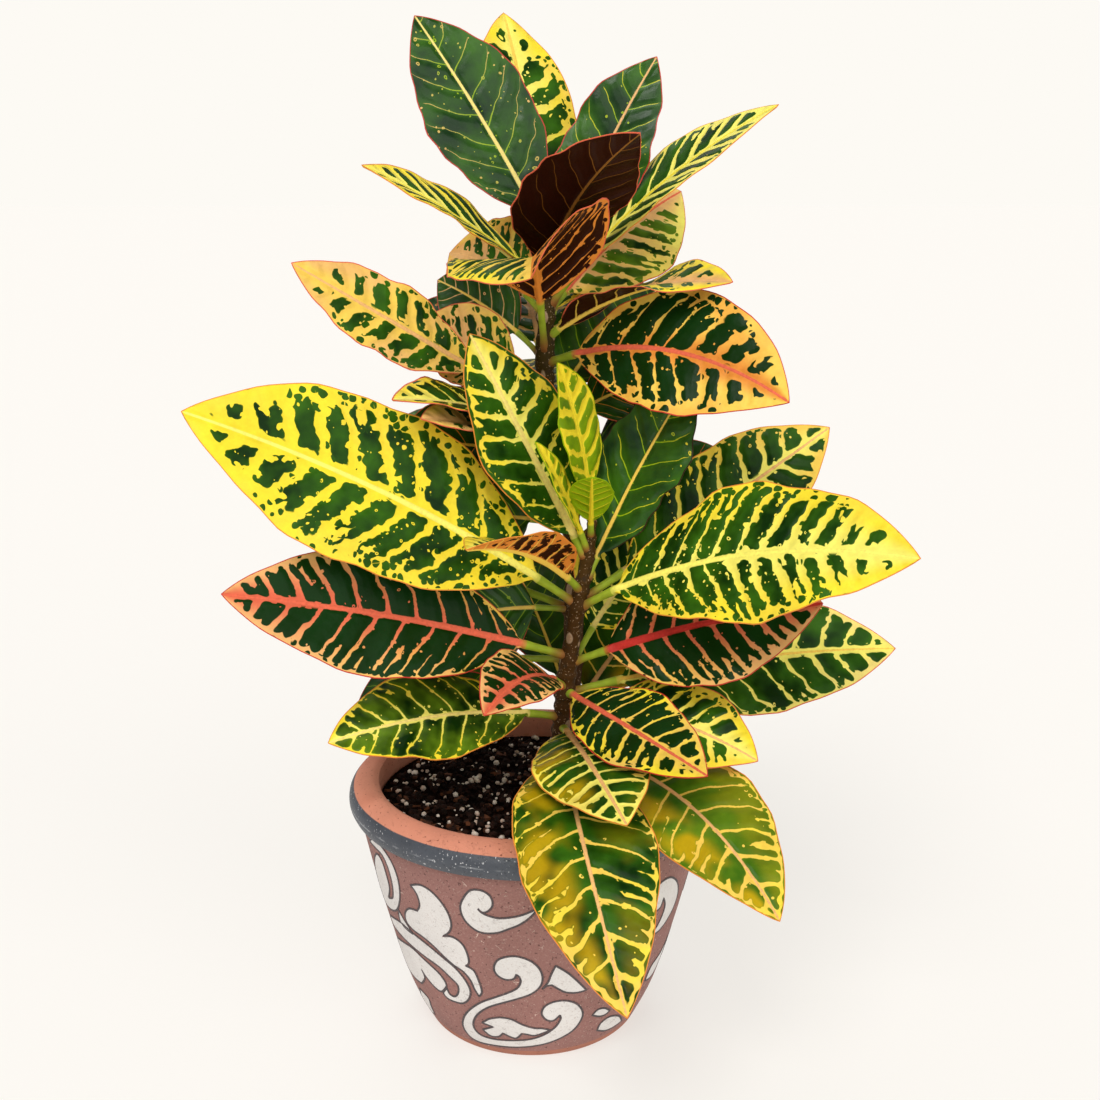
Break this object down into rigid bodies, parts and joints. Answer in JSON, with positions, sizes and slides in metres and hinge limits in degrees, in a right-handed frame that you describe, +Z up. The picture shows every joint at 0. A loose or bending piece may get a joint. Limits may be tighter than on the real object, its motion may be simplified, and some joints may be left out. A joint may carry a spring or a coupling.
{
  "type": "potted croton plant",
  "caption": "Potted croton: upright stems with broad, stalked, pointed leaves in a rolled-rim tapered clay pot filled with soil.",
  "frame": {"origin": "centre of the pot's base, on the surface that it stands on", "axes": "+Z up through the pot and the stems, +X to the right and -Y to the front as the picture shows it"},
  "size_m": [0.3664, 0.3152, 0.54],
  "materials": {
    "clay": "unglazed clay, washed mauve-brown, with painted off-white scrollwork and a slate band under the lip",
    "soil": "dry peat and bark mix with pale perlite",
    "bark": "brown-olive stem with pale leaf scars",
    "leaf_yellow": "glossy leaf, mostly yellow with green islands",
    "leaf_veined": "glossy leaf, green islands in a yellow net",
    "leaf_deep": "glossy leaf, deep green with thin veins",
    "leaf_orange": "glossy leaf, green islands on orange and yellow",
    "leaf_flame": "glossy leaf, red ribs and veins on dark green",
    "leaf_lime": "glossy young leaf, lime green with yellow veins",
    "leaf_olive": "glossy old leaf, olive green and yellow",
    "leaf_wine": "leaf with a dark maroon underside"
  },
  "bodies": {
    "root": {"pot": "clay", "soil": "soil", "stem_front": "bark", "stem_rear": "bark", "leaf_rear_01": "leaf_deep", "leaf_rear_02": "leaf_yellow", "leaf_rear_03": "leaf_deep", "leaf_rear_04": "leaf_wine", "leaf_rear_05": "leaf_yellow", "leaf_rear_06": "leaf_veined", "leaf_rear_07": "leaf_orange", "leaf_rear_08": "leaf_orange", "leaf_rear_09": "leaf_orange", "leaf_rear_10": "leaf_orange", "leaf_rear_11": "leaf_orange", "leaf_rear_12": "leaf_orange", "leaf_rear_13": "leaf_deep", "leaf_rear_14": "leaf_deep", "leaf_rear_15": "leaf_veined", "leaf_rear_16": "leaf_orange", "leaf_rear_17": "leaf_orange", "leaf_rear_18": "leaf_veined", "leaf_rear_19": "leaf_orange", "leaf_rear_20": "leaf_deep", "leaf_rear_21": "leaf_wine", "leaf_rear_22": "leaf_veined", "leaf_rear_23": "leaf_deep", "leaf_rear_24": "leaf_deep", "leaf_rear_25": "leaf_wine", "leaf_rear_26": "leaf_olive", "leaf_rear_27": "leaf_wine", "leaf_rear_28": "leaf_flame", "leaf_rear_29": "leaf_deep", "leaf_rear_30": "leaf_veined", "leaf_rear_31": "leaf_deep", "leaf_rear_32": "leaf_olive", "leaf_rear_33": "leaf_deep", "leaf_rear_34": "leaf_deep", "leaf_rear_35": "leaf_olive", "leaf_front_01": "leaf_lime", "leaf_front_02": "leaf_lime", "leaf_front_03": "leaf_lime", "leaf_front_04": "leaf_veined", "leaf_front_05": "leaf_deep", "leaf_front_06": "leaf_yellow", "leaf_front_07": "leaf_yellow", "leaf_front_08": "leaf_yellow", "leaf_front_09": "leaf_veined", "leaf_front_10": "leaf_flame", "leaf_front_11": "leaf_flame", "leaf_front_12": "leaf_veined", "leaf_front_13": "leaf_flame", "leaf_front_14": "leaf_flame", "leaf_front_15": "leaf_orange", "leaf_front_16": "leaf_orange", "leaf_front_17": "leaf_veined", "leaf_front_18": "leaf_veined", "leaf_front_19": "leaf_olive", "leaf_front_20": "leaf_olive"}
  },
  "joints": []
}
